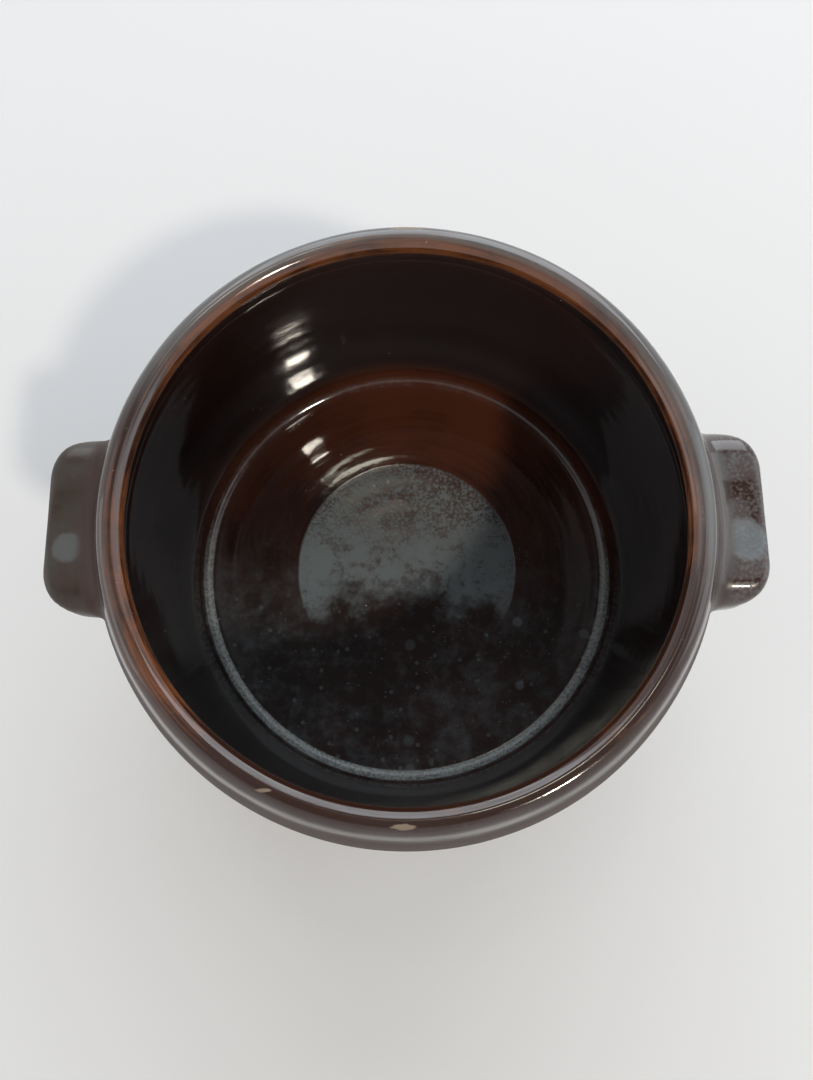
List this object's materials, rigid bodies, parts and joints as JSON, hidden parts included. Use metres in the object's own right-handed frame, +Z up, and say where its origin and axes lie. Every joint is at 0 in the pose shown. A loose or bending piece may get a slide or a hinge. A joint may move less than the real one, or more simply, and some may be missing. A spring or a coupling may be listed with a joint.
{
  "type": "electric bean pot",
  "caption": "Open round stoneware crock with lug handles that lifts off a vented electric warming base with a pin inlet at the back.",
  "frame": {"origin": "on the table under the crock's axis, where the feet stand", "axes": "+Z up along the crock's axis, X through the two lugs, power inlet at +Y"},
  "size_m": [0.2138, 0.1884, 0.166],
  "materials": {
    "glaze": "gloss",
    "enamel": "baked enamel",
    "cast_aluminium": "turned",
    "sheath": "oxidised",
    "ceramic": "matt",
    "plated_steel": "zinc plated",
    "cover_paint": "matt paint",
    "foot_rubber": "matt",
    "brass": "tarnished",
    "bimetal": "rolled",
    "nickel": "nickel plated",
    "braid": "glass braid"
  },
  "bodies": {
    "base": {"base_shell": "enamel", "heat_plate": "cast_aluminium", "heating_element": "sheath", "element_studs": "plated_steel", "element_bushings": "ceramic", "element_clamp": "plated_steel", "center_stud": "plated_steel", "clamp_nut": "plated_steel", "heat_shield": "cast_aluminium", "shield_nut": "plated_steel", "bottom_cover": "cover_paint", "cover_washer": "plated_steel", "cover_nut": "plated_steel", "front_foot": "foot_rubber", "left_foot": "foot_rubber", "right_foot": "foot_rubber", "foot_screws": "plated_steel", "stack_insulators": "ceramic", "stack_screw": "plated_steel", "blade_carrier": "brass", "contact_blade": "brass", "terminal_block": "ceramic", "live_pin": "nickel", "neutral_pin": "nickel", "inlet_guard": "plated_steel", "block_screws": "plated_steel", "guard_screws": "plated_steel", "neutral_strap": "brass", "supply_lead": "braid", "element_lead": "braid", "ring_terminals": "brass", "terminal_nuts": "brass"},
    "crock": {"crock": "glaze"},
    "bimetal_blade": {"bimetal_blade": "bimetal"}
  },
  "joints": [
    {"name": "crock_lift", "type": "slide", "parent": "base", "child": "crock", "axis": [0, 0, 1], "range_m": [0, 0.15]},
    {"name": "bimetal_flex", "type": "hinge", "parent": "base", "child": "bimetal_blade", "pos_m": [-0.001, 0.023, 0.029], "axis": [0, -1, 0], "range_deg": [0, 4], "stiffness_Nm_per_rad": 0.01}
  ]
}
